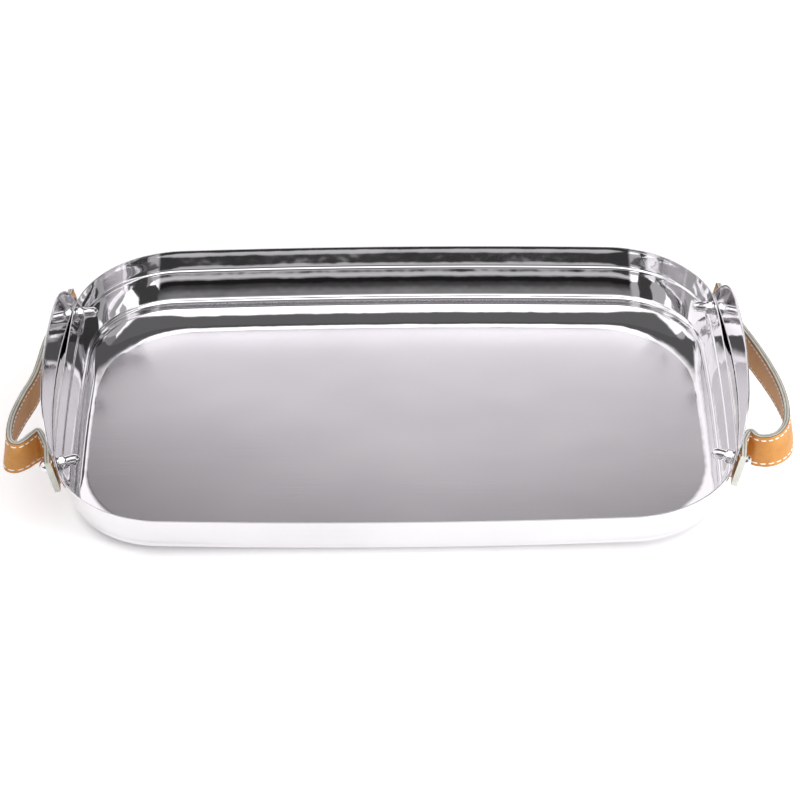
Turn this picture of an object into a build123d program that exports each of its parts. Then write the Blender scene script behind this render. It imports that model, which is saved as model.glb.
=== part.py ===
from build123d import *
import math
import os

os.makedirs("parts", exist_ok=True)

# Serving tray. X runs along the length, Y across, Z up. The origin is the middle of the base.
# All sizes are millimetres.

# ---- tray body ----
tray_length = 480.0
tray_width = 325.0
tray_height = 47.0
rim_corner = 81.0
side_bow_radius = 4100.0  # the long sides bow outwards on this radius
end_bow_radius = 2060.0  # the short ends bow outwards on this radius
sheet = 1.0

# Wall profile from the rim down: height, inset of the long sides, inset of the ends, corner radius.
wall_levels = [
    (tray_height, 0.0, 0.0, rim_corner),
    (32.8, 5.4, 3.0, 75.8),
    (32.1, 6.6, 4.1, 74.9),
    (26.0, 9.0, 5.3, 73.4),
    (20.0, 12.3, 6.6, 71.5),
    (13.8, 16.4, 8.0, 69.7),
    (12.6, 19.0, 9.4, 67.2),
    (11.0, 19.8, 9.9, 66.2),
]
# The foot is a shallow dish from here to the flat floor: it starts at a sharp turn below the wall.
foot_start = (7.2, 20.6, 10.4, 65.8)
foot_side_run = 21.4
foot_end_run = 8.2
foot_corner = 75.2  # corner radius where the foot meets the flat floor
foot_steps = 6
foot_turn_lift = 0.6  # share of the sheet by which the inner turn stands higher, and
foot_turn_inset = 0.9  # further in, than the outer one

# ---- end plates ----
plate_sheet = 1.2
plate_bottom = 31.0
plate_top = 78.0
plate_half_width = 98.0
plate_shoulder_width = 62.0
plate_shoulder_drop = 3.0
plate_corner_low = (91.0, 57.0)  # Y and Z of two points on the rounded shoulder
plate_corner_high = (79.0, 68.5)
plate_corner_lean = 0.3  # the side edge starts leaning this much off upright
plate_crown_slope = 0.14  # slope of the bowed top at the shoulders
plate_side_top = 46.0  # the straight side edges end here
plate_band_spare = 4.0  # the rolled blank runs this far past each side edge
plate_blank_margin = 5.0  # the rolled blank is this much taller than the cut plate
plate_blank_depth = 80.0
plate_join_angle = 5.5  # where the plate leaves the corner curve, degrees off square
plate_clearance = 0.1

# ---- fasteners ----
bolt_y = 88.0
bolt_z = 40.5
slope_span = 1.0  # the wall's slope at a bolt is taken over this distance
shank_radius = 2.5
hole_radius = 2.7
washer_radius = 5.2
washer_sheet = 0.9
washer_stand_off = 0.2  # a flat washer bridges the slightly hollow wall
nut_flats = 9.4
nut_base = 5.2
nut_barrel_radius = 3.9
nut_barrel = 5.6
nut_bore_radius = 2.53
shank_reach = 9.0  # how far the shank enters the nut
bore_spare = 1.0  # the blind bore goes this much deeper than the shank
drill_depth = 6.0
head_radius = 5.0
head_rim = 2.4
head_dome = 4.2
dome_steps = [(0.0, 1.0), (0.6, 0.78), (1.0, 0.3)]  # share of the dome's height, share of its radius

# ---- leather straps ----
strap_width = 27.0
layer = 2.1  # each strap is two bonded layers of this thickness
tab_inboard = 16.0  # from the bolt towards the middle of the handle
tab_outboard = 14.0  # from the bolt towards the corner
tab_clearance = 0.05
flex_gap = 2.0  # slit between the fixed rear run and the loop that flexes

# Bond line of each free loop seen from above: distance from the middle of the tray, then Y.
right_loop = [(252.4, 49.0), (269.8, -2.0), (277.4, -40.0), (274.0, -70.5), (261.5, -79.4), (253.4, -78.2)]
right_bends = [150.0, 100.0, 14.0, 9.0]
left_loop = [(252.4, 44.0), (260.0, -14.0), (270.8, -48.0), (272.2, -78.8), (263.5, -79.4), (254.0, -68.0)]
left_bends = [120.0, 90.0, 4.2, 5.4]


def corner_of(side_inset, end_inset, corner):
    """Centre of the corner arc, and the centres of the side and end arcs it is tangent to."""
    side_centre = Vector(0, tray_width / 2 - side_inset - side_bow_radius)
    end_centre = Vector(tray_length / 2 - end_inset - end_bow_radius, 0)
    reach_side = side_bow_radius - corner
    reach_end = end_bow_radius - corner
    span = end_centre - side_centre
    along = (reach_side**2 - reach_end**2 + span.length**2) / (2 * span.length)
    across = math.sqrt(reach_side**2 - along**2)
    square = Vector(span.Y, -span.X).normalized()
    return side_centre + span.normalized() * along + square * across, side_centre, end_centre


def tray_outline(side_inset, end_inset, corner):
    """Closed outline of eight tangent arcs, drawn in the current BuildLine."""
    centre, side_centre, end_centre = corner_of(side_inset, end_inset, corner)
    on_side = centre + (centre - side_centre).normalized() * corner
    on_end = centre + (centre - end_centre).normalized() * corner
    on_corner = centre + (on_side + on_end - centre * 2).normalized() * corner
    half_length = tray_length / 2 - end_inset
    half_width = tray_width / 2 - side_inset
    for turn in (1, -1):
        ThreePointArc((-on_side.X, turn * on_side.Y), (0, turn * half_width), (on_side.X, turn * on_side.Y))
        ThreePointArc((turn * on_end.X, -on_end.Y), (turn * half_length, 0), (turn * on_end.X, on_end.Y))
        for side in (1, -1):
            ThreePointArc(
                (turn * on_side.X, side * on_side.Y),
                (turn * on_corner.X, side * on_corner.Y),
                (turn * on_end.X, side * on_end.Y),
            )


def shell_levels(inwards):
    """Wall and foot levels of the outer skin, or of the inner skin when moved inwards by a thickness."""
    levels = [(z, side + inwards, end + inwards, r - inwards) for z, side, end, r in wall_levels]
    start_z, start_side, start_end, start_corner = foot_start
    lift = foot_turn_lift * inwards
    inset = foot_turn_inset * inwards
    for step in range(foot_steps + 1):
        run = step / foot_steps
        z = inwards + (start_z + lift - inwards) * (1 - run) ** 2
        side = start_side + inset + (foot_side_run - inset) * run
        end = start_end + inset + (foot_end_run - inset) * run
        levels.append((z, side, end, start_corner - inset + (foot_corner - start_corner + inset) * run))
    return levels


def wall_x(y, z):
    """Outer X of the end wall's top band at height z."""
    (top, _, _, _), (low, side_inset, end_inset, corner) = wall_levels[0], wall_levels[1]
    found = []
    for inset_side, inset_end, radius in ((0.0, 0.0, rim_corner), (side_inset, end_inset, corner)):
        centre, _, end_centre = corner_of(inset_side, inset_end, radius)
        if y > centre.Y + radius * math.sin(math.atan2(centre.Y, centre.X - end_centre.X)):
            found.append(centre.X + math.sqrt(radius**2 - (y - centre.Y) ** 2))
        else:
            found.append(end_centre.X + math.sqrt(end_bow_radius**2 - y**2))
    return found[1] + (found[0] - found[1]) * (z - low) / (top - low)


def bolt_plane(side, end, out=0.0):
    """Plane on the outer wall face at one bolt, facing away from the tray, moved out along its axis."""
    half = slope_span / 2
    slope_y = (wall_x(bolt_y + half, bolt_z) - wall_x(bolt_y - half, bolt_z)) / slope_span
    slope_z = (wall_x(bolt_y, bolt_z + half) - wall_x(bolt_y, bolt_z - half)) / slope_span
    axis = Vector(side, -end * slope_y, -slope_z).normalized()
    origin = Vector(side * wall_x(bolt_y, bolt_z), end * bolt_y, bolt_z)
    level = Vector(0, 0, 1).cross(axis).normalized()
    return Plane(origin=origin + axis * out, x_dir=level, z_dir=axis)


def plate_band(z):
    """Thin curved strip of the end plate in plan at height z, drawn in the current BuildLine."""
    centre, _, _ = corner_of(0.0, 0.0, rim_corner)
    lean = wall_x(0, z) - wall_x(0, tray_height)
    join = math.radians(plate_join_angle)
    edges = []
    for radius in (rim_corner + plate_clearance, rim_corner + plate_clearance + plate_sheet):
        leave = Vector(centre.X + radius * math.cos(join), centre.Y + radius * math.sin(join))
        middle_radius = leave.Y / math.sin(join)
        middle = leave.X + middle_radius * (1 - math.cos(join))
        last = math.asin((plate_half_width + plate_band_spare - centre.Y) / radius)
        half = (join + last) / 2
        on_arc = [
            Vector(centre.X + lean + radius * math.cos(a), centre.Y + radius * math.sin(a))
            for a in (join, half, last)
        ]
        edges.append((on_arc, middle + lean))
    for (low, half, last), middle in edges:
        ThreePointArc((low.X, -low.Y), (middle, 0), (low.X, low.Y))
        ThreePointArc((low.X, low.Y), (half.X, half.Y), (last.X, last.Y))
        ThreePointArc((low.X, -low.Y), (half.X, -half.Y), (last.X, -last.Y))
    inner_tip, outer_tip = edges[0][0][2], edges[1][0][2]
    for turn in (1, -1):
        Line((inner_tip.X, turn * inner_tip.Y), (outer_tip.X, turn * outer_tip.Y))


def plate_arch():
    """Outline of the end plate from the end: straight foot, rounded shoulders, bowed top."""
    shoulder_z = plate_top - plate_shoulder_drop
    Polyline(
        (-plate_half_width, plate_side_top),
        (-plate_half_width, plate_bottom),
        (plate_half_width, plate_bottom),
        (plate_half_width, plate_side_top),
    )
    for turn in (1, -1):
        Spline(
            (turn * plate_half_width, plate_side_top),
            (turn * plate_corner_low[0], plate_corner_low[1]),
            (turn * plate_corner_high[0], plate_corner_high[1]),
            (turn * plate_shoulder_width, shoulder_z),
            tangents=((-turn * plate_corner_lean, 1), (-turn, plate_crown_slope)),
        )
    Spline(
        (-plate_shoulder_width, shoulder_z),
        (0, plate_top),
        (plate_shoulder_width, shoulder_z),
        tangents=((1, plate_crown_slope), (1, -plate_crown_slope)),
    )


# ---- tray body: one pressed sheet, open at the top ----
with BuildPart() as tray_body:
    for height, side_inset, end_inset, corner in shell_levels(0.0):
        with BuildSketch(Plane.XY.offset(height)):
            with BuildLine():
                tray_outline(side_inset, end_inset, corner)
            make_face()
    loft(ruled=True)
    for height, side_inset, end_inset, corner in shell_levels(sheet):
        with BuildSketch(Plane.XY.offset(height)):
            with BuildLine():
                tray_outline(side_inset, end_inset, corner)
            make_face()
    loft(ruled=True, mode=Mode.SUBTRACT)
    for side in (1, -1):
        for end in (1, -1):
            with Locations(bolt_plane(side, end)):
                Cylinder(hole_radius, drill_depth, mode=Mode.SUBTRACT)
tray_body.part.label = "tray_body"
export_step(tray_body.part, "parts/tray_body.step")

plate_out = plate_clearance + plate_sheet + tab_clearance
strap_thickness = 2 * layer

for side_name, side, loop, bends in (
    ("left", -1, left_loop, left_bends),
    ("right", 1, right_loop, right_bends),
):
    # ---- end plate: curved sheet behind the rim, leaning with the wall, arched at the top ----
    with BuildPart() as end_plate:
        for height in (plate_bottom - plate_blank_margin, plate_top + plate_blank_margin):
            with BuildSketch(Plane.XY.offset(height)):
                with BuildLine():
                    plate_band(height)
                make_face()
        loft(ruled=True)
        with BuildSketch(Plane.YZ.offset((tray_length - plate_blank_depth) / 2)):
            with BuildLine():
                plate_arch()
            make_face()
        extrude(amount=plate_blank_depth, mode=Mode.INTERSECT)
        if side < 0:
            mirror(about=Plane.YZ, mode=Mode.REPLACE)
        for end in (1, -1):
            with Locations(bolt_plane(side, end)):
                Cylinder(hole_radius, drill_depth, mode=Mode.SUBTRACT)
    end_plate.part.label = side_name + "_end_plate"
    export_step(end_plate.part, "parts/" + end_plate.part.label + ".step")

    # ---- free loop of the strap: the outer layer lies outside the bond line, the lining inside ----
    for layer_name, bond_side in (("strap_outer", 1), ("strap_lining", -1)):
        with BuildPart() as strap_layer:
            with BuildSketch(Plane.XY.offset(bolt_z - strap_width / 2)):
                with BuildLine():
                    points = [(side * x, y) for x, y in loop]
                    FilletPolyline(*points, radius=bends)
                    towards = Side.LEFT if bond_side * side > 0 else Side.RIGHT
                    offset(amount=layer, side=towards, closed=True)
                make_face()
            extrude(amount=strap_width)
        strap_layer.part.label = side_name + "_" + layer_name
        export_step(strap_layer.part, "parts/" + strap_layer.part.label + ".step")

    # ---- clamped ends of the strap: flat tabs under the screw heads, and the rear tab's run ----
    loop_start, loop_next = (Vector(side * x, y) for x, y in loop[:2])
    forward = (loop_next - loop_start).normalized()
    away = Vector(side * abs(forward.Y), abs(forward.X))  # square to the loop, away from the tray
    run_end = loop_start - forward * flex_gap
    for layer_name, start, bond_side in (
        ("tabs_lining", plate_out, -1),
        ("tabs_outer", plate_out + layer, 1),
    ):
        with BuildPart() as tabs:
            for end in (1, -1):
                run = side * end
                with BuildSketch(bolt_plane(side, end, start)):
                    with Locations(((tab_outboard - tab_inboard) / 2 * run, 0)):
                        Rectangle(tab_outboard + tab_inboard, strap_width)
                    Circle(hole_radius, mode=Mode.SUBTRACT)
                extrude(amount=layer)
            rear = bolt_plane(side, 1, start + layer / 2)
            edge = rear.origin - rear.x_dir * side * tab_inboard
            with BuildSketch(Plane(origin=edge, x_dir=rear.z_dir, z_dir=rear.x_dir)):
                Rectangle(layer, strap_width)
            middle = run_end + away * bond_side * layer / 2
            with BuildSketch(Plane(origin=(middle.X, middle.Y, bolt_z), x_dir=away, z_dir=-forward)):
                Rectangle(layer, strap_width)
            loft()
        tabs.part.label = side_name + "_" + layer_name
        export_step(tabs.part, "parts/" + tabs.part.label + ".step")

    # ---- dome-head screws: head outside the leather, shank through to the nut ----
    with BuildPart() as screws:
        for end in (1, -1):
            seat = plate_out + strap_thickness
            shank_length = seat + sheet + washer_stand_off + washer_sheet + shank_reach
            with BuildSketch(bolt_plane(side, end, seat)):
                Circle(shank_radius)
            extrude(amount=-shank_length)
            with BuildSketch(bolt_plane(side, end, seat)):
                Circle(head_radius)
            extrude(amount=head_rim)
            for rise, spread in dome_steps:
                with BuildSketch(bolt_plane(side, end, seat + head_rim + head_dome * rise)):
                    Circle(head_radius * spread)
            loft()
    screws.part.label = side_name + "_screws"
    export_step(screws.part, "parts/" + screws.part.label + ".step")

    # ---- washers inside the wall ----
    with BuildPart() as washers:
        for end in (1, -1):
            with BuildSketch(bolt_plane(side, end, -sheet - washer_stand_off)):
                Circle(washer_radius)
                Circle(hole_radius, mode=Mode.SUBTRACT)
            extrude(amount=-washer_sheet)
    washers.part.label = side_name + "_washers"
    export_step(washers.part, "parts/" + washers.part.label + ".step")

    # ---- long acorn nuts: hexagon, barrel and round end, with a blind bore ----
    with BuildPart() as nuts:
        nut_seat = -sheet - washer_stand_off - washer_sheet
        for end in (1, -1):
            with BuildSketch(bolt_plane(side, end, nut_seat)):
                RegularPolygon(nut_flats / 2, 6, major_radius=False)
            extrude(amount=-nut_base)
            with BuildSketch(bolt_plane(side, end, nut_seat - nut_base)):
                Circle(nut_barrel_radius)
            extrude(amount=-nut_barrel)
            with Locations(bolt_plane(side, end, nut_seat - nut_base - nut_barrel)):
                Sphere(nut_barrel_radius)
        for end in (1, -1):
            with BuildSketch(bolt_plane(side, end, nut_seat)):
                Circle(nut_bore_radius)
            extrude(amount=-shank_reach - bore_spare, mode=Mode.SUBTRACT)
    nuts.part.label = side_name + "_acorn_nuts"
    export_step(nuts.part, "parts/" + nuts.part.label + ".step")
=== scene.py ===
import math

import bmesh
import bpy
import numpy as np
from mathutils import Matrix, Vector


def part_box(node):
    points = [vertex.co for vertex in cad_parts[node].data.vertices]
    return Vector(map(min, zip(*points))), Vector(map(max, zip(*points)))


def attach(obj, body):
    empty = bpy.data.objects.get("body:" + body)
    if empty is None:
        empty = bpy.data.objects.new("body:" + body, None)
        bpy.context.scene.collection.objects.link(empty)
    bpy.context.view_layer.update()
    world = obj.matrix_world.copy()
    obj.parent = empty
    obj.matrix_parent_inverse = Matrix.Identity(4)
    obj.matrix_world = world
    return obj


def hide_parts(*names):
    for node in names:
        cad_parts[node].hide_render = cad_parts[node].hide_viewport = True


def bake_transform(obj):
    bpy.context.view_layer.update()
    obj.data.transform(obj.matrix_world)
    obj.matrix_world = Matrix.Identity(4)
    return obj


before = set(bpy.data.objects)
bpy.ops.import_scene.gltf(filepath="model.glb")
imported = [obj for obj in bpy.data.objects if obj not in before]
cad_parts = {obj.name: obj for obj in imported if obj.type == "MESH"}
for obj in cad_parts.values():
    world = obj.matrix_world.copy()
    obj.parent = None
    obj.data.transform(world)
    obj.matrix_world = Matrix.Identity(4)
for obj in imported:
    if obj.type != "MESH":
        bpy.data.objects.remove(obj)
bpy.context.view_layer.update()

# Polished serving tray with bolted leather straps.

mm = 0.001
trayLow, trayHigh = (np.array(corner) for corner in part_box("tray_body"))


def gridFaces(rows, columns, closedRows=False, closedColumns=False):
    # Quads of a rows x columns grid, as an index array. Closed directions join last to first.
    r = np.arange(rows if closedRows else rows - 1)
    c = np.arange(columns if closedColumns else columns - 1)
    r, c = np.meshgrid(r, c, indexing="ij")
    r2, c2 = (r + 1) % rows, (c + 1) % columns
    return np.stack([r * columns + c, r2 * columns + c, r2 * columns + c2, r * columns + c2], -1).reshape(-1, 4)


def meshObject(name, points, faces, materials, smooth=True):
    # Puts whole arrays of points and faces into one mesh and links its object. Smooth is one value for
    # all the faces, or one for each.
    mesh = bpy.data.meshes.new(name)
    mesh.from_pydata(np.asarray(points, float).reshape(-1, 3).tolist(), [], list(faces))
    mesh.update()
    piece = bpy.data.objects.new(name, mesh)
    bpy.context.scene.collection.objects.link(piece)
    mesh.polygons.foreach_set("use_smooth", np.broadcast_to(smooth, len(faces)).copy())
    for material in materials:
        mesh.materials.append(material)
    return piece


def closedPiece(name, points, quads, caps, materials):
    # Smooth quads with flat end caps of any number of corners; all the faces are turned outwards.
    faces = np.asarray(quads).tolist() + caps
    piece = meshObject(name, points, faces, materials, np.arange(len(faces)) < len(quads))
    turnOutwards(piece.data)
    return piece


def turnOutwards(mesh):
    # Recalculates the face directions of a closed mesh.
    work = bmesh.new()
    work.from_mesh(mesh)
    bmesh.ops.recalc_face_normals(work, faces=work.faces)
    work.to_mesh(mesh)
    work.free()


def newGroup(name, inputs, outputs):
    # An empty node group with its sockets, and its input and output nodes.
    group = bpy.data.node_groups.new(name, "ShaderNodeTree")
    for title, kind, value in inputs:
        socket = group.interface.new_socket(name=title, in_out="INPUT", socket_type=kind)
        if value is not None:
            socket.default_value = value
    for title, kind in outputs:
        group.interface.new_socket(name=title, in_out="OUTPUT", socket_type=kind)
    return group, group.nodes.new("NodeGroupInput"), group.nodes.new("NodeGroupOutput")


def mathNode(tree, operation, a, b=None, clamp=False):
    # One sum, product or other step on numbers or sockets.
    node = tree.nodes.new("ShaderNodeMath")
    node.operation = operation
    node.use_clamp = clamp
    for socket, value in zip(node.inputs, (a, b)):
        if value is None:
            continue
        if isinstance(value, (int, float)):
            socket.default_value = value
        else:
            tree.links.new(value, socket)
    return node.outputs[0]


def rampNode(tree, factor, stops):
    # Colour by straight steps between stops of place and colour.
    node = tree.nodes.new("ShaderNodeValToRGB")
    ramp = node.color_ramp.elements
    while len(ramp) < len(stops):
        ramp.new(0.5)
    for element, (place, colour) in zip(ramp, stops):
        element.position = place
        element.color = (*colour, 1.0)
    tree.links.new(factor, node.inputs["Fac"])
    return node.outputs["Color"]


def noiseNode(tree, vector, scale, detail=3.0, rough=0.55):
    # Cloudy noise from 0 to 1; a larger scale makes finer clouds.
    node = tree.nodes.new("ShaderNodeTexNoise")
    node.inputs["Scale"].default_value = scale
    node.inputs["Detail"].default_value = detail
    node.inputs["Roughness"].default_value = rough
    tree.links.new(vector, node.inputs["Vector"])
    return node.outputs["Fac"]


def stretched(tree, vector, scale):
    # The same coordinates, scaled differently along each axis.
    node = tree.nodes.new("ShaderNodeMapping")
    node.inputs["Scale"].default_value = scale
    tree.links.new(vector, node.inputs["Vector"])
    return node.outputs["Vector"]


def smoothEdge(tree, value, low, high):
    # 0 at low and beyond it, 1 at high and beyond it, and a smooth step between. Low may be the larger.
    node = tree.nodes.new("ShaderNodeMapRange")
    node.interpolation_type = "SMOOTHSTEP"
    tree.links.new(value, node.inputs["Value"])
    node.inputs["From Min"].default_value = low
    node.inputs["From Max"].default_value = high
    return node.outputs["Result"]


def mixValue(tree, factor, a, b):
    # a where the factor is 0 and b where it is 1.
    node = tree.nodes.new("ShaderNodeMix")
    node.data_type = "FLOAT"
    tree.links.new(factor, node.inputs[0])
    for socket, value in ((node.inputs[2], a), (node.inputs[3], b)):
        if isinstance(value, (int, float)):
            socket.default_value = value
        else:
            tree.links.new(value, socket)
    return node.outputs[0]


def makePolishGroup():
    # Polished sheet metal: slow waviness left by buffing, fine swirl haze, and faint smears.
    group, start, end = newGroup(
        "polishMarks",
        [
            ("Vector", "NodeSocketVector", None),
            ("Waviness", "NodeSocketFloat", 1.0),
            ("Haze", "NodeSocketFloat", 1.0),
        ],
        [("Height", "NodeSocketFloat"), ("Roughness", "NodeSocketFloat"), ("Tint", "NodeSocketColor")],
    )
    at = start.outputs["Vector"]
    slow = noiseNode(group, at, 26.0, 1.0)
    quick = noiseNode(group, at, 95.0, 1.0)
    wave = mathNode(group, "ADD", slow, mathNode(group, "MULTIPLY", quick, 0.22))
    group.links.new(mathNode(group, "MULTIPLY", wave, start.outputs["Waviness"]), end.inputs["Height"])
    swirl = noiseNode(group, stretched(group, at, (1.0, 1.0, 6.0)), 320.0, 4.0, 0.7)
    smear = noiseNode(group, at, 11.0, 4.0)
    haze = mathNode(group, "MULTIPLY", mathNode(group, "MULTIPLY", swirl, smear), start.outputs["Haze"])
    rough = mathNode(group, "ADD", mathNode(group, "MULTIPLY", haze, 0.16), 0.012)
    group.links.new(rough, end.inputs["Roughness"])
    tint = rampNode(group, smear, [(0.3, (0.80, 0.79, 0.81)), (0.75, (0.86, 0.85, 0.86))])
    group.links.new(tint, end.inputs["Tint"])
    return group


def makeBrushGroup():
    # Brushed finish: long hairlines along X over shorter scratches, with slow dark clouds.
    group, start, end = newGroup(
        "brushedGrain",
        [("Vector", "NodeSocketVector", None), ("Depth", "NodeSocketFloat", 1.0)],
        [("Height", "NodeSocketFloat"), ("Roughness", "NodeSocketFloat"), ("Tint", "NodeSocketColor")],
    )
    at = start.outputs["Vector"]
    long = noiseNode(group, stretched(group, at, (7.0, 1400.0, 200.0)), 1.0, 4.0, 0.65)
    short = noiseNode(group, stretched(group, at, (60.0, 3200.0, 200.0)), 1.0, 2.0, 0.6)
    long, short = mathNode(group, "MULTIPLY", long, 0.65), mathNode(group, "MULTIPLY", short, 0.35)
    grain = mathNode(group, "ADD", long, short)
    group.links.new(mathNode(group, "MULTIPLY", grain, start.outputs["Depth"]), end.inputs["Height"])
    cloud = noiseNode(group, stretched(group, at, (1.0, 1.6, 1.0)), 6.0, 2.0)
    group.links.new(
        mathNode(group, "ADD", mathNode(group, "MULTIPLY", grain, 0.10), 0.19), end.inputs["Roughness"]
    )
    lines, clouds = mathNode(group, "MULTIPLY", grain, 0.30), mathNode(group, "MULTIPLY", cloud, 0.70)
    shade = mathNode(group, "ADD", lines, clouds)
    group.links.new(
        rampNode(group, shade, [(0.30, (0.66, 0.64, 0.665)), (0.70, (0.78, 0.76, 0.785))]), end.inputs["Tint"]
    )
    return group


def makeLeatherGroup():
    # Vegetable-tanned leather: fine pores, slow mottling and darker rubbed patches.
    group, start, end = newGroup(
        "leatherGrain",
        [("Vector", "NodeSocketVector", None), ("Scale", "NodeSocketFloat", 1.0)],
        [("Height", "NodeSocketFloat"), ("Mottle", "NodeSocketFloat"), ("Pores", "NodeSocketFloat")],
    )
    at = start.outputs["Vector"]
    cells = group.nodes.new("ShaderNodeTexVoronoi")
    cells.feature = "DISTANCE_TO_EDGE"
    group.links.new(at, cells.inputs["Vector"])
    group.links.new(mathNode(group, "MULTIPLY", start.outputs["Scale"], 1500.0), cells.inputs["Scale"])
    creases = mathNode(group, "MULTIPLY", cells.outputs["Distance"], 2.2, clamp=True)
    fibres = noiseNode(group, at, 900.0, 3.0, 0.6)
    creases, hairs = mathNode(group, "MULTIPLY", creases, 0.5), mathNode(group, "MULTIPLY", fibres, 0.5)
    height = mathNode(group, "ADD", creases, hairs)
    group.links.new(height, end.inputs["Height"])
    group.links.new(noiseNode(group, at, 55.0, 4.0, 0.6), end.inputs["Mottle"])
    group.links.new(fibres, end.inputs["Pores"])
    return group


polishGroup = makePolishGroup()
brushGroup = makeBrushGroup()
leatherGroup = makeLeatherGroup()


def startMaterial(name):
    # A new material with its tree, its shader and the object coordinates.
    material = bpy.data.materials.new(name)
    material.use_nodes = True
    tree = material.node_tree
    shader = tree.nodes["Principled BSDF"]
    place = tree.nodes.new("ShaderNodeTexCoord").outputs["Object"]
    return material, tree, shader, place


def addGroup(tree, group, place, **values):
    # Puts a group into a material, with a number for each named socket.
    node = tree.nodes.new("ShaderNodeGroup")
    node.node_tree = group
    tree.links.new(place, node.inputs["Vector"])
    for title, value in values.items():
        node.inputs[title].default_value = value
    return node


def addBump(tree, shader, height, distance, strength=1.0):
    # Tilts the normals by a height, as if it stood that distance in metres.
    bump = tree.nodes.new("ShaderNodeBump")
    bump.inputs["Distance"].default_value = distance
    bump.inputs["Strength"].default_value = strength
    tree.links.new(height, bump.inputs["Height"])
    tree.links.new(bump.outputs["Normal"], shader.inputs["Normal"])


def polishedSteel(name, waviness, haze):
    # Mirror-like steel with the marks of buffing.
    material, tree, shader, place = startMaterial(name)
    marks = addGroup(tree, polishGroup, place, Waviness=waviness, Haze=haze)
    shader.inputs["Metallic"].default_value = 1.0
    tree.links.new(marks.outputs["Tint"], shader.inputs["Base Color"])
    tree.links.new(marks.outputs["Roughness"], shader.inputs["Roughness"])
    addBump(tree, shader, marks.outputs["Height"], 0.00035)
    return material


def brushedSteel(name):
    # Satin steel with a fine grain along the tray.
    material, tree, shader, place = startMaterial(name)
    grain = addGroup(tree, brushGroup, place, Depth=1.0)
    shader.inputs["Metallic"].default_value = 1.0
    tree.links.new(grain.outputs["Tint"], shader.inputs["Base Color"])
    tree.links.new(grain.outputs["Roughness"], shader.inputs["Roughness"])
    addBump(tree, shader, grain.outputs["Height"], 0.00004, 0.5)
    return material


def leather(name, dark, light, roughness, scale, depth):
    # Leather between two colours: three parts mottle to one part pores.
    material, tree, shader, place = startMaterial(name)
    grain = addGroup(tree, leatherGroup, place, Scale=scale)
    blend = mathNode(tree, "ADD", mathNode(tree, "MULTIPLY", grain.outputs["Mottle"], 0.75),
                     mathNode(tree, "MULTIPLY", grain.outputs["Pores"], 0.25))
    tree.links.new(rampNode(tree, blend, [(0.32, dark), (0.68, light)]), shader.inputs["Base Color"])
    tree.links.new(
        mathNode(tree, "ADD", mathNode(tree, "MULTIPLY", grain.outputs["Mottle"], 0.18), roughness),
        shader.inputs["Roughness"],
    )
    shader.inputs["Specular IOR Level"].default_value = 0.3
    addBump(tree, shader, grain.outputs["Height"], depth, 0.7)
    return material


def thread(name):
    # Pale twisted thread.
    material, tree, shader, place = startMaterial(name)
    twist = noiseNode(tree, place, 2600.0, 2.0)
    tree.links.new(rampNode(tree, twist, [(0.3, (0.88, 0.87, 0.84)), (0.7, (0.98, 0.97, 0.95))]),
                   shader.inputs["Base Color"])
    shader.inputs["Roughness"].default_value = 0.65
    addBump(tree, shader, twist, 0.0001)
    return material


wallSteel = polishedSteel("wallSteel", 1.0, 1.0)
plateSteel = polishedSteel("plateSteel", 0.6, 0.8)
fastenerSteel = polishedSteel("fastenerSteel", 0.25, 1.6)
floorSteel = brushedSteel("floorSteel")
tanFace = leather("tanFace", (0.42, 0.175, 0.034), (0.60, 0.29, 0.075), 0.36, 1.0, 0.00012)
rawEdge = leather("rawEdge", (0.50, 0.51, 0.455), (0.70, 0.71, 0.65), 0.72, 1.7, 0.0003)
edgeLine = leather("edgeLine", (0.16, 0.095, 0.05), (0.25, 0.15, 0.08), 0.6, 1.2, 0.0001)
whiteThread = thread("whiteThread")
print("materials made")


tray = {
    "length": trayHigh[0] - trayLow[0],
    "width": trayHigh[1] - trayLow[1],
    "height": trayHigh[2],
    "sideBow": 4.1,  # radius on which the long sides bow out
    "endBow": 2.06,
    "sheet": 1.0 * mm,
    "stepRound": 0.45 * mm,  # how softly the pressed steps turn
    "satinMargin": 0.3 * mm,  # the brushed floor starts this far in from the end of the foot
    "gentleTurn": 0.98,  # cosine of the largest turn that is smoothed away
    "bandRows": 5,  # mesh rows on each flat band of the wall
    "beadGap": 0.2 * mm,  # both skins stop this far below the bead of the rim
    "middle": 0.03,  # share of the outline where the rings give way to one middle point
    "floorRows": 18,
    "baseRows": 9,
    "around": 480,
}
# Outer profile from the rim down: height, inset of the sides, inset of the ends, corner radius.
wallProfile = np.array([
    (47.0, 0.0, 0.0, 81.0), (32.8, 5.4, 3.0, 75.8), (32.1, 6.6, 4.1, 74.9), (26.0, 9.0, 5.3, 73.4),
    (20.0, 12.3, 6.6, 71.5), (13.8, 16.4, 8.0, 69.7), (12.6, 19.0, 9.4, 67.2), (11.0, 19.8, 9.9, 66.2),
    (7.2, 20.6, 10.4, 65.8),
]) * mm
# The foot is a shallow dish below the wall: how far it runs in, and its corner radius at the flat floor.
# The inner skin starts the foot a share of the sheet higher and further in.
foot = {
    "side": 21.4 * mm,
    "end": 8.2 * mm,
    "corner": 75.2 * mm,
    "turnLift": 0.6,
    "turnInset": 0.9,
    "steps": 22,
}


def cornerCentre(sideInset, endInset, corner):
    # Centre of the corner arc, where two circles about the bow centres cross, and those two centres.
    sideY = tray["width"] / 2 - sideInset - tray["sideBow"]
    endX = tray["length"] / 2 - endInset - tray["endBow"]
    reachSide, reachEnd = tray["sideBow"] - corner, tray["endBow"] - corner
    span = np.hypot(endX, sideY)
    along = (reachSide**2 - reachEnd**2 + span**2) / (2 * span)
    across = np.sqrt(reachSide**2 - along**2)
    ux, uy = endX / span, -sideY / span
    return ux * along + uy * across, sideY + uy * along - ux * across, sideY, endX


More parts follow.
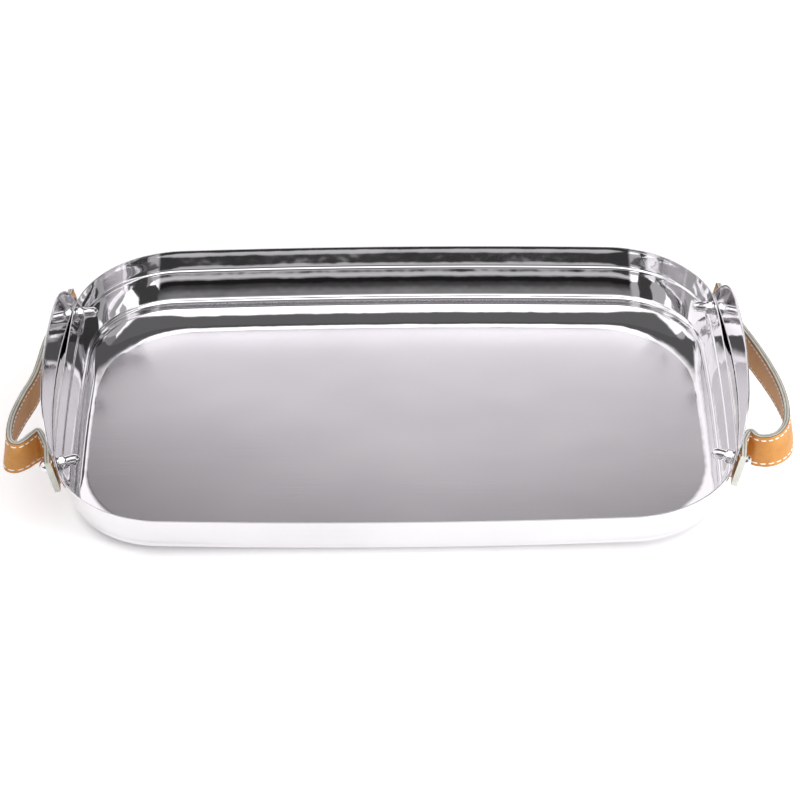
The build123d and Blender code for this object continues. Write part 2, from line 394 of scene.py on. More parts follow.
def outlinePoints(levels, count):
    # Tray outline at each level: end, corner and side arcs with common tangents. One quarter is drawn
    # and mirrored twice. Each level is height, side inset, end inset, corner radius.
    height, sideInset, endInset, corner = np.asarray(levels, float).T[:, :, None]
    cx, cy, sideY, endX = cornerCentre(sideInset, endInset, corner)
    turnSide, turnEnd = np.arctan2(cy - sideY, cx), np.arctan2(cy, cx - endX)
    quarter = count // 4
    nSide, nEnd = int(quarter * 0.26), int(quarter * 0.16)
    nCorner = quarter - nSide - nEnd
    a = turnEnd * np.linspace(0, 1, nEnd, endpoint=False)
    b = turnEnd + (turnSide - turnEnd) * np.linspace(0, 1, nCorner, endpoint=False)
    c = turnSide + (math.pi / 2 - turnSide) * np.linspace(0, 1, nSide + 1)
    endBow, sideBow = tray["endBow"], tray["sideBow"]
    x = np.concatenate([endX + endBow * np.cos(a), cx + corner * np.cos(b), sideBow * np.cos(c)], 1)
    y = np.concatenate([endBow * np.sin(a), cy + corner * np.sin(b), sideY + sideBow * np.sin(c)], 1)
    x, y = np.concatenate([x, -x[:, -2::-1]], 1), np.concatenate([y, y[:, -2::-1]], 1)
    x, y = np.concatenate([x, x[:, -2:0:-1]], 1), np.concatenate([y, -y[:, -2:0:-1]], 1)
    return np.stack([x, y, np.broadcast_to(height, x.shape)], -1)


def softened(levels, radius):
    # Rounds each turn of a profile: the corner point gives way to a short curve between two points that
    # lie a radius before and after it, and each flat band is cut into rows. A gentle turn is rounded over
    # nearly half of the bands beside it, so the wall swells smoothly.
    levels = np.asarray(levels, float)
    rows = [levels[:1]]
    for before, here, after in zip(levels[:-2], levels[1:-1], levels[2:]):
        steps = [np.linalg.norm((p - here)[:2]) for p in (before, after)]
        cosine = np.dot((here - before)[:2], (after - here)[:2]) / (steps[0] * steps[1])
        reach = radius if cosine < tray["gentleTurn"] else max(steps)
        start = here + (before - here) * min(reach / steps[0], 0.48)
        end = here + (after - here) * min(reach / steps[1], 0.48)
        band = np.linspace(0, 1, tray["bandRows"] + 1)[1:-1, None]
        rows.append(rows[-1][-1] + (start - rows[-1][-1]) * band)
        t = np.linspace(0, 1, 5)[:, None]
        rows.append(start * (1 - t) ** 2 + 2 * here * t * (1 - t) + end * t**2)
    rows.append(levels[-1:])
    return np.concatenate(rows)


def skinLevels(inwards):
    # Levels of the outer skin, or of the inner one when moved in by the sheet thickness. The foot falls
    # as the square of the distance left to run, so it lands flat.
    shift = np.array([0.0, inwards, inwards, -inwards])
    end = wallProfile[-1]
    lift, inset = foot["turnLift"] * inwards, foot["turnInset"] * inwards
    last = end + [lift, inset, inset, -inset]
    t = np.linspace(0, 1, foot["steps"])
    dish = np.stack([
        inwards + (last[0] - inwards) * (1 - t) ** 2,
        last[1] + (end[1] + foot["side"] - last[1]) * t,
        last[2] + (end[2] + foot["end"] - last[2]) * t,
        last[3] + (foot["corner"] - last[3]) * t,
    ], -1)
    wall = softened(np.concatenate([wallProfile[:-1] + shift, dish[:1], dish[3:4]]), tray["stepRound"] * 2)
    return np.concatenate([wall[:-1], dish[3:]])


def makeTrayBody():
    outer, inner = skinLevels(0.0), skinLevels(tray["sheet"])
    # The cut edge of the rim is half round: both skins stop short and a bead joins them.
    half = tray["sheet"] / 2
    turn = np.linspace(0, math.pi, 9)[:, None]
    top = np.array([tray["height"] - half, half, half, wallProfile[0][3] - half])
    bead = top + half * np.concatenate([np.sin(turn), -np.cos(turn), -np.cos(turn), np.cos(turn)], 1)
    belowBead = tray["height"] - half - tray["beadGap"]
    edge = inner[-1:] + np.array([[0, 1, 1, -1]]) * tray["satinMargin"] * np.array([[0.5], [1.0]])
    outer, inner = outer[outer[:, 0] < belowBead], inner[inner[:, 0] < belowBead]
    levels = np.concatenate([outer[::-1], bead, inner, edge])
    rings = outlinePoints(levels, tray["around"])
    flat, upright = np.array([1, 1, 0]), np.array([0, 0, 1])
    floorShares = np.linspace(1, tray["middle"], tray["floorRows"])[1:, None, None]
    floorRings = rings[-1:] * (floorShares * flat + upright)
    baseShares = np.linspace(tray["middle"], 1, tray["baseRows"])[:-1, None, None]
    baseRings = rings[:1] * (baseShares * flat + upright)
    rings = np.concatenate([baseRings, rings, floorRings])
    rows, count = rings.shape[:2]
    points = np.concatenate([rings.reshape(-1, 3), [[0, 0, 0], [0, 0, tray["sheet"]]]])
    around = np.arange(count)
    quads = gridFaces(rows, count, closedColumns=True)[:, ::-1]
    under = np.stack([np.full(count, rows * count), around, (around + 1) % count], -1)[:, ::-1]
    last = (rows - 1) * count
    over = np.stack([np.full(count, rows * count + 1), last + around, last + (around + 1) % count], -1)
    faces = quads.tolist() + under.tolist() + over.tolist()
    piece = meshObject("tray_body_skin", points, faces, [wallSteel, floorSteel])
    floorRow = rows - len(floorRings) - 1
    slots = np.zeros(len(faces), int)
    slots[floorRow * count:len(quads)] = 1
    slots[len(quads) + count:] = 1
    piece.data.polygons.foreach_set("material_index", slots)
    piece.data.update()
    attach(piece, "root")
    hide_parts("tray_body")


makeTrayBody()
print("tray body made")


plate = {
    "sheet": 1.2 * mm,
    "clearance": 0.1 * mm,
    "bottom": 31.0 * mm,
    "joinAngle": math.radians(5.5),  # where the plate leaves the corner curve
    "across": 121,
    "up": 26,
}
# Half of the arched outline from the side edge to the crown: Y and Z.
plateArch = np.array([
    (98.0, 46.0), (96.0, 50.2), (91.0, 57.0), (85.5, 63.2), (79.0, 68.5), (71.0, 72.4), (62.0, 75.0),
    (42.0, 76.9), (20.0, 77.8), (0.0, 78.0),
]) * mm


def smoothCurve(points, count):
    # Catmull-Rom curve through the points, sampled at even steps of its length.
    points = np.asarray(points, float)
    padded = np.concatenate([2 * points[:1] - points[1:2], points, 2 * points[-1:] - points[-2:-1]])
    t = np.linspace(0, 1, 24, endpoint=False)[:, None, None]
    a, b, c, d = padded[:-3], padded[1:-2], padded[2:-1], padded[3:]
    curve = 0.5 * (2 * b + (c - a) * t + (2 * a - 5 * b + 4 * c - d) * t**2 + (3 * b - a - 3 * c + d) * t**3)
    curve = np.concatenate([curve.transpose(1, 0, 2).reshape(-1, points.shape[1]), points[-1:]])
    length = np.concatenate([[0], np.cumsum(np.linalg.norm(np.diff(curve, axis=0), axis=1))])
    even = np.linspace(0, length[-1], count)
    return np.stack([np.interp(even, length, column) for column in curve.T], -1)


def wallX(y, z):
    # X of the end wall's top band: the rim and first step outlines, joined by straight lines.
    found = []
    for level in wallProfile[:2]:
        cx, cy, _, endX = cornerCentre(*level[1:])
        onCorner = cx + np.sqrt(np.maximum(level[3] ** 2 - (np.abs(y) - cy) ** 2, 0))
        onEnd = endX + np.sqrt(tray["endBow"] ** 2 - y**2)
        joinY = cy + level[3] * np.sin(np.arctan2(cy, cx - endX))
        found.append(np.where(np.abs(y) > joinY, onCorner, onEnd))
    low, top = wallProfile[1][0], wallProfile[0][0]
    return found[1] + (found[0] - found[1]) * (z - low) / (top - low)


def plateX(y, z, depth):
    # X of the plate: it hugs the corner curves and bridges the end on one wider arc, a little clear.
    cx, cy, _, _ = cornerCentre(*wallProfile[0][1:])
    radius = wallProfile[0][3] + plate["clearance"] + depth
    leaveX = cx + radius * math.cos(plate["joinAngle"])
    leaveY = cy + radius * math.sin(plate["joinAngle"])
    bridge = leaveY / math.sin(plate["joinAngle"])
    lean = wallX(0.0, z) - wallX(0.0, tray["height"])
    onCorner = cx + np.sqrt(np.maximum(radius**2 - (np.abs(y) - cy) ** 2, 0))
    onBridge = leaveX - bridge * math.cos(plate["joinAngle"]) + np.sqrt(bridge**2 - y**2)
    return lean + np.where(np.abs(y) > leaveY, onCorner, onBridge)


def makeEndPlate(name, side):
    # A closed sheet: up the inner face, over a half-round edge and down the outer face, and back under.
    arch = smoothCurve(plateArch, (plate["across"] + 1) // 2)
    arch = np.concatenate([arch * [-1, 1], (arch[:-1])[::-1]])
    half = plate["sheet"] / 2
    rise = np.linspace(0, 1, plate["up"])
    turn = np.linspace(0, math.pi, 7)[1:-1]
    still = np.zeros(plate["up"])
    depth = np.concatenate([still, half - half * np.cos(turn), still + 2 * half, half + half * np.cos(turn)])
    share = np.concatenate([rise, np.ones(len(turn)), rise[::-1], np.zeros(len(turn))])
    lift = np.concatenate([still, half * np.sin(turn), still, -half * np.sin(turn)])
    y = np.broadcast_to(arch[:, :1], (len(arch), len(share)))
    z = plate["bottom"] + half + (arch[:, 1:] - plate["bottom"] - 2 * half) * share + lift
    x = plateX(y, z, depth) * side
    points = np.stack([x, y, z], -1)
    rows, columns = points.shape[:2]
    faces = gridFaces(rows, columns, closedColumns=True)
    faces = faces if side < 0 else faces[:, ::-1]
    ends = np.arange(columns)
    first, last = ends.tolist(), (ends + (rows - 1) * columns).tolist()
    caps = [first, last[::-1]] if side > 0 else [first[::-1], last]
    piece = closedPiece(name + "_end_plate_skin", points, faces, caps, [plateSteel])
    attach(piece, "root")
    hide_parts(name + "_end_plate")


for name, side in (("left", -1), ("right", 1)):
    makeEndPlate(name, side)
print("end plates made")


bolt = {
    "y": 88.0 * mm,
    "z": 40.5 * mm,
    "washerStand": 0.2 * mm,
    "washerSheet": 0.9 * mm,
    "washerRadius": 5.2 * mm,
    "flats": 9.4 * mm,
    "hexHeight": 5.2 * mm,
    "barrelRadius": 3.9 * mm,
    "barrelHeight": 5.6 * mm,
    "headRadius": 5.0 * mm,
    "headRim": 2.4 * mm,
    "headDome": 4.2 * mm,
    "shankRadius": 2.45 * mm,
    "washerHole": 2.7 * mm,
    "washerSoft": 0.12 * mm,  # how softly the washer's rim turns
    "hexRows": 5,  # the first rows of the nut, which are cut to its flats
    "around": 72,
}


def boltFrame(side, end):
    # Origin on the outer wall face, and the level, upward and outward directions there.
    y, z, step = bolt["y"], bolt["z"], 0.5 * mm
    slopeY = (wallX(y + step, z) - wallX(y - step, z)) / (2 * step)
    slopeZ = (wallX(y, z + step) - wallX(y, z - step)) / (2 * step)
    out = np.array([side, -end * slopeY, -slopeZ])
    out /= np.linalg.norm(out)
    level = np.cross([0, 0, 1], out)
    level /= np.linalg.norm(level)
    return np.array([side * wallX(y, z), end * y, z]), level, np.cross(out, level), out


def turned(side, end, profile, flats=0.0, hexRows=0):
    # A lathed shape about a bolt: profile rows are distance out along the bolt and radius. The first
    # hexRows rows are cut to a hexagon wherever the circle would stand outside its flats.
    origin, level, up, out = boltFrame(side, end)
    profile = np.asarray(profile, float)
    angle = np.linspace(0, 2 * math.pi, bolt["around"], endpoint=False)
    radius = np.repeat(profile[:, 1:], bolt["around"], 1)
    wedge = (angle + math.pi / 6) % (math.pi / 3) - math.pi / 6
    limit = flats / 2 / np.cos(wedge)
    radius[:hexRows] = np.minimum(radius[:hexRows], limit)
    across = np.cos(angle)[:, None] * level + np.sin(angle)[:, None] * up
    return origin + profile[:, :1, None] * out + radius[:, :, None] * across


def lathePiece(name, shapes, replaced, closed=False):
    # Joins the turned shapes of both bolts into one piece, with capped or closed ends.
    points, quads, caps, start = [], [], [], 0
    for shape in shapes:
        rows, count = shape.shape[:2]
        quads.append(gridFaces(rows, count, closedRows=closed, closedColumns=True) + start)
        if not closed:
            caps += [(np.arange(count) + start).tolist(), (np.arange(count) + start + (rows - 1) * count).tolist()]
        points.append(shape.reshape(-1, 3))
        start += rows * count
    piece = closedPiece(name, np.concatenate(points), np.concatenate(quads), caps, [fastenerSteel])
    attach(piece, "root")
    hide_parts(replaced)


def dome(rows):
    # Quarter circle from the rim of a round end to its top: height share and radius share.
    turn = np.linspace(0, math.pi / 2 - 0.05, rows)
    return np.sin(turn), np.cos(turn)


def makeFasteners(name, side):
    # From the wall inwards a washer and an acorn nut, and outside the leather a domed screw head.
    seat = -(tray["sheet"] + bolt["washerStand"])
    nutSeat = seat - bolt["washerSheet"]
    hexTop = nutSeat - bolt["hexHeight"]
    barrelTop = hexTop - bolt["barrelHeight"]
    corner = bolt["flats"] / 2 / math.cos(math.pi / 6)
    rise, spread = dome(12)
    nutRows = [
        (nutSeat, bolt["flats"] / 2 - 0.1 * mm), (nutSeat - 0.5 * mm, corner), (nutSeat - 1.5 * mm, corner),
        (hexTop + 1.3 * mm, corner), (hexTop + 0.4 * mm, bolt["flats"] / 2),
        (hexTop, bolt["barrelRadius"] + 0.35 * mm), (hexTop - 0.3 * mm, bolt["barrelRadius"]),
        (hexTop - 2.0 * mm, bolt["barrelRadius"]), (barrelTop + 1.0 * mm, bolt["barrelRadius"]),
    ]
    nutRows += [(barrelTop - bolt["barrelRadius"] * r, bolt["barrelRadius"] * s) for r, s in zip(rise, spread)]
    base = plate["clearance"] + plate["sheet"] + strap["tabClearance"] + strap["thickness"]
    # The head stands on the leather and its shank runs back into the nut.
    headRows = [
        (nutSeat - 1.0 * mm, bolt["shankRadius"]), (base, bolt["shankRadius"]),
        (base, bolt["headRadius"] - 0.3 * mm), (base + 0.35 * mm, bolt["headRadius"]),
        (base + bolt["headRim"], bolt["headRadius"]),
    ]
    headRows += [(base + bolt["headRim"] + bolt["headDome"] * r, bolt["headRadius"] * s)
                 for r, s in zip(rise[1:], spread[1:])]
    outer, hole, soft = bolt["washerRadius"], bolt["washerHole"], bolt["washerSoft"]
    washerRows = [(seat, hole), (seat, outer - soft), (seat - soft, outer), (nutSeat + soft, outer),
                  (nutSeat, outer - soft), (nutSeat, hole)]
    ends = (1, -1)
    lathePiece(name + "_acorn_nuts_skin", [turned(side, e, nutRows, bolt["flats"], bolt["hexRows"]) for e in ends],
               name + "_acorn_nuts")
    lathePiece(name + "_screws_skin", [turned(side, e, headRows) for e in ends], name + "_screws")
    lathePiece(name + "_washers_skin", [turned(side, e, washerRows) for e in ends], name + "_washers", True)


strap = {
    "width": 27.0 * mm,
    "thickness": 4.2 * mm,
    "tabClearance": 0.05 * mm,
    "tabInboard": 16.0 * mm,
    "tabOutboard": 14.0 * mm,
    "edgeRound": 0.55 * mm,
    "seamInset": 3.2 * mm,
    "seamDepth": 0.22 * mm,
    "seamWidth": 0.7 * mm,
    "crown": 0.12 * mm,  # how far the faces and stitches swell
    "faceColumns": 31,
    "stitchMargin": 4.5 * mm,
    "stitchPitch": 4.9 * mm,
    "stitchLength": 3.7 * mm,
    "stitchRadius": 0.52 * mm,
    "bendStart": 246.2 * mm,
    "bendEnd": 253.5 * mm,
    "stations": 420,
}
# Bond line of each free loop from the front fold to the rear, seen from above, and how far the lower edge
# stands out beyond the upper one: distance from the middle of the tray, Y, and that overhang.
looseStraps = {
    "right": np.array([
        (246.6, -74.0, -3.0), (252.5, -79.3, 0.0), (261.0, -80.4, 2.0), (270.0, -75.2, 4.5), (276.0, -64.0, 5.0),
        (277.8, -45.0, 4.0), (275.4, -22.0, 3.0), (269.6, 2.0, 2.0), (261.5, 27.0, 1.0), (252.6, 50.0, 0.0),
    ]) * mm,
    "left": np.array([
        (248.6, -66.4, -3.0), (254.0, -69.8, 0.0), (259.2, -76.2, 1.5), (265.0, -80.2, 3.5), (270.6, -77.6, 5.0),
        (272.4, -66.0, 4.0), (270.9, -48.0, 2.5), (265.6, -25.0, 1.5), (258.6, 0.0, 1.0), (252.8, 44.0, 0.0),
    ]) * mm,
}


def strapPath(side, loop):
    # Middle line of the whole strap and its across direction: front tab, sharp fold, loop, rear run,
    # rear tab. Two rows of points, for the lower and the upper edge, are smoothed alike.
    seat = plate["clearance"] + plate["sheet"] + strap["tabClearance"] + strap["thickness"] / 2
    half = strap["width"] / 2
    guides = []
    for end in (-1, 1):
        origin, level, up, out = boltFrame(side, end)
        inboard = -level * side * end
        reach = np.array([-strap["tabOutboard"], -7 * mm, 0, 7 * mm, strap["tabInboard"]])
        middle = origin + out * seat + reach[:, None] * inboard
        guides.append((middle - up * half, middle + up * half))
    x, y, hang = loop.T
    low = np.stack([side * (x + hang / 2), y, np.full(len(x), bolt["z"] - half)], -1)
    high = np.stack([side * (x - hang / 2), y, np.full(len(x), bolt["z"] + half)], -1)
    low = np.concatenate([guides[0][0][:-1], low, guides[1][0][::-1]])
    high = np.concatenate([guides[0][1][:-1], high, guides[1][1][::-1]])
    both = smoothCurve(np.concatenate([low, high], 1), strap["stations"])
    low, high = both[:, :3], both[:, 3:]
    middle = (low + high) / 2
    along = np.gradient(middle, axis=0)
    along /= np.linalg.norm(along, axis=1)[:, None]
    across = (high - low) / np.linalg.norm(high - low, axis=1)[:, None]
    face = np.cross(along, across) * -side
    face /= np.linalg.norm(face, axis=1)[:, None]
    length = np.concatenate([[0], np.cumsum(np.linalg.norm(np.diff(middle, axis=0), axis=1))])
    return middle, face, across, length


def makeStrap(name, side):
    # One closed section carried along the path: two dented faces between two flat raw edges.
    middle, face, across, length = strapPath(side, looseStraps[name])
    half, thick, soft = strap["width"] / 2, strap["thickness"] / 2, strap["edgeRound"]
    seam = half - strap["seamInset"]
    # Section: outwards offset n, upwards offset u, and material 0 face, 1 raw edge, 2 dark line.
    faceU = np.linspace(-half + soft, half - soft, strap["faceColumns"])
    dent = strap["seamDepth"] * sum(np.exp(-((faceU - row) / strap["seamWidth"]) ** 2) for row in (seam, -seam))
    crown = strap["crown"] * (1 - (faceU / half) ** 2)
    edgeN = np.array([0.78, 0.45, 0.10, 0.0, -0.10, -0.45, -0.78]) * thick
    edgeU = half - np.array([0.12, 0.02, 0.06, 0.28, 0.06, 0.02, 0.12]) * mm
    n = np.concatenate([thick - dent + crown, edgeN, (-(thick - dent + crown))[::-1], -edgeN])
    u = np.concatenate([faceU, edgeU, faceU[::-1], -edgeU])
    faceKinds, edgeKinds = np.zeros(strap["faceColumns"] - 1), [2, 1, 1, 2, 2, 1, 1, 2]
    kind = np.tile(np.concatenate([faceKinds, edgeKinds]), 2).astype(int)
    # The raw edge wanders a little, as a hand-cut one does.
    wander = 0.10 * mm * np.sin(length[:, None] * 410) + 0.06 * mm * np.sin(length[:, None] * 1130 + 1)
    grow = 1 + wander / half
    points = middle[:, None] + face[:, None] * n[None, :, None] + across[:, None] * (u[None] * grow)[:, :, None]
    rows, columns = points.shape[:2]
    quads = gridFaces(rows, columns, closedColumns=True)
    first = np.arange(columns)
    caps = [first.tolist(), (first + (rows - 1) * columns).tolist()]
    piece = closedPiece(name + "_strap_leather", points, quads, caps, [tanFace, rawEdge, edgeLine])
    slots = np.concatenate([np.tile(kind, rows - 1), [1, 1]])
    piece.data.polygons.foreach_set("material_index", slots)
    piece.data.update()
    finishStrap(piece)
    layers = ("_strap_outer", "_strap_lining", "_tabs_outer", "_tabs_lining")
    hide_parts(*[name + layer for layer in layers])
    makeStitches(name, middle, face, across, length, seam, thick)


def makeStitches(name, middle, face, across, length, seam, thick):
    # Every stitch is a short capsule that follows the strap: along it at even pitch, on both faces.
    centres = np.arange(strap["stitchMargin"], length[-1] - strap["stitchMargin"], strap["stitchPitch"])
    ring = np.linspace(0, 2 * math.pi, 6, endpoint=False)
    s = np.linspace(-1, 1, 7)
    girth = np.sqrt(np.maximum(1 - np.abs(s) ** 4, 0.02))
    alongS = centres[:, None] + s[None] * strap["stitchLength"] / 2
    cells = gridFaces(len(s), len(ring), closedColumns=True)
    each = len(s) * len(ring)
    points, quads, start = [], [], 0
    for faceSign in (1, -1):
        for row in (seam, -seam):
            centre, outward, upward = (np.stack([np.interp(alongS, length, column) for column in track.T], -1)
                                       for track in (middle, face, across))
            lift = faceSign * (thick - strap["seamDepth"] * 0.55 + strap["crown"] * (1 - s**2))
            radius = strap["stitchRadius"] * girth
            n = lift[:, None] + faceSign * radius[:, None] * np.cos(ring)
            u = row + radius[:, None] * np.sin(ring)
            shape = centre[:, :, None] + outward[:, :, None] * n[None, :, :, None]
            shape = shape + upward[:, :, None] * u[None, :, :, None]
            block = cells[None] + (np.arange(len(centres)) * each)[:, None, None] + start
            quads.append(block.reshape(-1, 4))
            points.append(shape.reshape(-1, 3))
            start += len(centres) * each
    firsts, spots = np.arange(0, start, each)[:, None], np.arange(len(ring))
    caps = (firsts + spots).tolist() + (firsts + each - 1 - spots).tolist()
    stitching = name + "_strap_stitching"
    piece = closedPiece(stitching, np.concatenate(points), np.concatenate(quads), caps, [whiteThread])
    finishStrap(piece)


def finishStrap(piece):
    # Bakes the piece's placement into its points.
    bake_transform(piece)


for name, side in (("left", -1), ("right", 1)):
    makeFasteners(name, side)
    makeStrap(name, side)
print("fasteners and straps made")


studio = {
    "overhead": 2.0,
    # Brightness by pitch: 0 is the horizon in front, 90 straight up, 180 the horizon behind.
    "bands": [
        (0, 0.04), (7, 0.04), (8.4, 0.50), (12, 0.62), (14.5, 0.30), (16.5, 0.012), (22.5, 0.012), (24.5, 0.05),
        (27, 0.07), (30, 0.18), (33, 0.28), (45, 0.5), (58, 0.9), (64, 2.0), (90, 2.0), (94, 0.13), (139, 0.13),
        (146, 0.05), (180, 0.05),
    ],
    "bandWobble": 0.02,
    "panelScale": 3.6,
    "sideBright": 1.35,
    "sideGrey": 0.45,
    "sideDark": 0.05,
    "rightLit": 0.34,  # share of the panels that are lit, on the right and on the left
    "leftLit": 0.72,
    "rightLow": 0.04,  # brightness of the low stretch at the back of each side
    "leftLow": 1.15,
    "below": 0.9,
    "even": 0.80,
    "floor": (0.93, 0.925, 0.925),
    "floorReach": 6.0,
    "floorDrop": 0.2 * mm,
    "floorGlow": 0.36,
    # Painted shade under the tray, where the floor's glow is left out: half length and half width of its box,
    # corner radius and soft edge.
    "shade": (trayHigh[0] - 8 * mm, trayHigh[1] - 18 * mm),
    "paintedShadeCorner": 70 * mm,
    "paintedShadeEdge": 14 * mm,
    "cardY": 1.3,
    "cardHalf": 1.6,
    "cardTop": 1.9,
    "cardBright": 1.18,
    "cardDark": 0.10,
    "cardEdge": (0.92, 1.34),
    "cardArch": 0.6,
    "cardDip": 0.18,
    "cardMiddle": 0.08,
    "cardRight": (0.46, 0.60),
    "cardLeft": (1.05, 1.35),
}
view = {
    "elevation": math.radians(38.0),
    "turn": math.radians(0.29),
    "roll": math.radians(-0.71),
    "distance": 2.2246,
    "target": (0.0, 0.0, 0.027),
    "lens": 138.55,
    "shiftX": 0.0058,
    "shiftY": -0.0022,
}


def makeFloor():
    # A plain pale floor with a soft glow, which is left out in a painted shade under the tray.
    size = studio["floorReach"]
    corners = [(-size, -size, 0), (size, -size, 0), (size, size, 0), (-size, size, 0)]
    material, tree, shader, place = startMaterial("studioFloor")
    fine = noiseNode(tree, place, 3.0, 2.0)
    pale = studio["floor"]
    tint = rampNode(tree, fine, [(0.0, [c * 0.99 for c in pale]), (1.0, pale)])
    tree.links.new(tint, shader.inputs["Base Color"])
    shader.inputs["Roughness"].default_value = 0.8
    shader.inputs["Specular IOR Level"].default_value = 0.1
    # Painted shade: the soft glow stops under the tray, standing in for its contact shadow, and keeps a dark line
    # where the foot meets the floor.
    # The painted shade is a box with round corners: the distance past its straight part, less the corner radius.
    parts = tree.nodes.new("ShaderNodeSeparateXYZ")
    tree.links.new(place, parts.inputs[0])
    squares = []
    for axis, reach in zip(parts.outputs, studio["shade"]):
        past = mathNode(tree, "SUBTRACT", mathNode(tree, "ABSOLUTE", axis), reach - studio["paintedShadeCorner"])
        past = mathNode(tree, "MAXIMUM", past, 0.0)
        squares.append(mathNode(tree, "MULTIPLY", past, past))
    distance = mathNode(tree, "SQRT", mathNode(tree, "ADD", *squares))
    # Painted shade: 0 inside the box, rising to 1 beyond its soft edge; the floor's glow is scaled by it.
    clear = smoothEdge(tree, distance, studio["paintedShadeCorner"] - studio["paintedShadeEdge"], studio["paintedShadeCorner"])
    tree.links.new(rampNode(tree, clear, [(0.0, (0, 0, 0)), (1.0, (1, 1, 1))]), shader.inputs["Emission Color"])
    shader.inputs["Emission Strength"].default_value = studio["floorGlow"]
    points = np.array(corners) - [0, 0, studio["floorDrop"]]
    floor = meshObject("studio_floor", points, [[0, 1, 2, 3]], [material], False)


def makeStudio():
    # Studio surroundings by direction, for reflections only: bands by pitch from the room in front, over
    # the white ceiling, to the dark upper back wall, and patches of panels at the two sides. Matt
    # surfaces see one even brightness.
    world = bpy.data.worlds.new("studio")
    bpy.context.scene.world = world
    world.use_nodes = True
    tree = world.node_tree
    direction = tree.nodes.new("ShaderNodeTexCoord").outputs["Generated"]
    parts = tree.nodes.new("ShaderNodeSeparateXYZ")
    tree.links.new(direction, parts.inputs[0])
    x, y, z = parts.outputs
    pitch = mathNode(tree, "ARCTAN2", z, mathNode(tree, "MULTIPLY", y, -1.0))
    wobble = mathNode(tree, "SUBTRACT", noiseNode(tree, direction, 2.6, 2.0), 0.5)
    wobble = mathNode(tree, "MULTIPLY", wobble, studio["bandWobble"])
    pitch = mathNode(tree, "ADD", mathNode(tree, "MULTIPLY", pitch, 1 / math.pi), wobble)
    bands = [(degrees / 180, (level / studio["overhead"],) * 3) for degrees, level in studio["bands"]]
    level = mathNode(tree, "MULTIPLY", rampNode(tree, pitch, bands), studio["overhead"])
    cells = tree.nodes.new("ShaderNodeTexVoronoi")
    cells.inputs["Scale"].default_value = studio["panelScale"]
    tree.links.new(direction, cells.inputs["Vector"])
    patch = tree.nodes.new("ShaderNodeSeparateColor")
    tree.links.new(cells.outputs["Color"], patch.inputs[0])
    # The low stretch behind to the right is dark, and its twin to the left is lit.
    low = mathNode(tree, "MULTIPLY", smoothEdge(tree, y, 0.25, 0.40), smoothEdge(tree, z, 0.66, 0.56))
    sides = ((1, studio["rightLit"], studio["rightLow"]), (-1, studio["leftLit"], studio["leftLow"]))
    for sign, share, lowLevel in sides:
        unlit = smoothEdge(tree, patch.outputs[0], share - 0.02, share + 0.02)
        facets = mixValue(tree, unlit, studio["sideBright"], studio["sideDark"])
        facets = mixValue(tree, smoothEdge(tree, patch.outputs[1], 0.66, 0.70), facets, studio["sideGrey"])
        facets = mixValue(tree, low, facets, lowLevel)
        toSide = mathNode(tree, "MULTIPLY", x, sign)
        level = mixValue(tree, smoothEdge(tree, toSide, 0.36, 0.42), level, facets)
    level = mixValue(tree, smoothEdge(tree, z, -0.02, -0.10), level, studio["below"])
    path = tree.nodes.new("ShaderNodeLightPath")
    level = mixValue(tree, path.outputs["Is Glossy Ray"], studio["even"], level)
    background = tree.nodes["Background"]
    background.inputs["Color"].default_value = (1.0, 0.985, 1.0, 1.0)
    tree.links.new(level, background.inputs["Strength"])


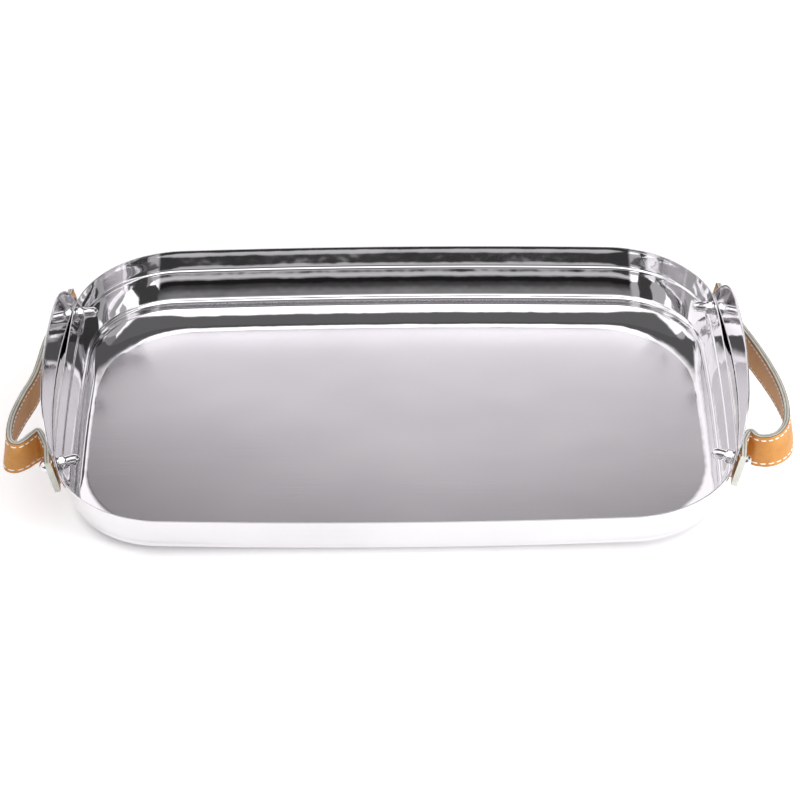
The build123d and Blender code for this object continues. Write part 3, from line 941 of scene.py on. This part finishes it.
def makeRearCard():
    # A tall pale card behind the tray, seen only in reflections. It is lit below an arched edge.
    half, top = studio["cardHalf"], studio["cardTop"]
    material = bpy.data.materials.new("rearCard")
    material.use_nodes = True
    tree = material.node_tree
    place = tree.nodes.new("ShaderNodeTexCoord").outputs["Object"]
    parts = tree.nodes.new("ShaderNodeSeparateXYZ")
    tree.links.new(place, parts.inputs[0])
    x, y, z = parts.outputs
    offset = mathNode(tree, "SUBTRACT", x, studio["cardMiddle"])
    arch = mathNode(tree, "MULTIPLY", mathNode(tree, "MULTIPLY", offset, offset), studio["cardArch"])
    arch = mathNode(tree, "MINIMUM", arch, studio["cardDip"])
    height = mathNode(tree, "ADD", z, arch)
    glow = tree.nodes.new("ShaderNodeEmission")
    glow.inputs["Color"].default_value = (1.0, 0.975, 0.995, 1.0)
    toLeft = mathNode(tree, "MULTIPLY", x, -1.0)
    right, left = smoothEdge(tree, x, *studio["cardRight"]), smoothEdge(tree, toLeft, *studio["cardLeft"])
    side = mathNode(tree, "MAXIMUM", right, left)
    edge = mathNode(tree, "MAXIMUM", smoothEdge(tree, height, *studio["cardEdge"]), side)
    tree.links.new(mixValue(tree, edge, studio["cardBright"], studio["cardDark"]), glow.inputs["Strength"])
    tree.links.new(glow.outputs[0], tree.nodes["Material Output"].inputs["Surface"])
    corners = [(-half, 0, 0), (half, 0, 0), (half, 0, top), (-half, 0, top)]
    points = np.array(corners) + [0, studio["cardY"], 0]
    card = meshObject("rear_card", points, [[0, 1, 2, 3]], [material], False)
    card.visible_camera = card.visible_diffuse = card.visible_shadow = False


def areaLight(name, place, aim, size, power):
    # A rectangular lamp at a place, turned towards what it lights.
    light = bpy.data.lights.new(name, "AREA")
    light.shape = "RECTANGLE"
    light.size, light.size_y = size
    light.energy = power
    lamp = bpy.data.objects.new(name, light)
    bpy.context.scene.collection.objects.link(lamp)
    lamp.location = place
    lamp.rotation_euler = (Vector(aim) - Vector(place)).to_track_quat("-Z", "Y").to_euler()
    return lamp


def makeCamera():
    # Placed on a circle about the target and rolled slightly about the line of sight.
    camera = bpy.data.cameras.new("camera")
    camera.lens, camera.sensor_width = view["lens"], 36.0
    camera.shift_x, camera.shift_y = view["shiftX"], view["shiftY"]
    camera.clip_end = 50.0
    e, t, r = view["elevation"], view["turn"], view["roll"]
    back = Vector((math.sin(t) * math.cos(e), -math.cos(t) * math.cos(e), math.sin(e)))
    right = Vector((math.cos(t), math.sin(t), 0))
    up = back.cross(right)
    sideways = right * math.cos(r) + up * math.sin(r)
    upwards = up * math.cos(r) - right * math.sin(r)
    holder = bpy.data.objects.new("camera", camera)
    bpy.context.scene.collection.objects.link(holder)
    turn = Matrix((sideways, upwards, back)).transposed().to_4x4()
    holder.matrix_world = Matrix.Translation(Vector(view["target"]) + back * view["distance"]) @ turn
    bpy.context.scene.camera = holder


makeFloor()
makeStudio()
makeRearCard()
keyLight = areaLight("keySoftbox", (1.0, -0.75, 0.45), (0.27, -0.05, 0.04), (0.4, 0.4), 9)
keyLight.visible_glossy = False
makeCamera()
bpy.context.scene.view_settings.view_transform = "Standard"
print("studio made")
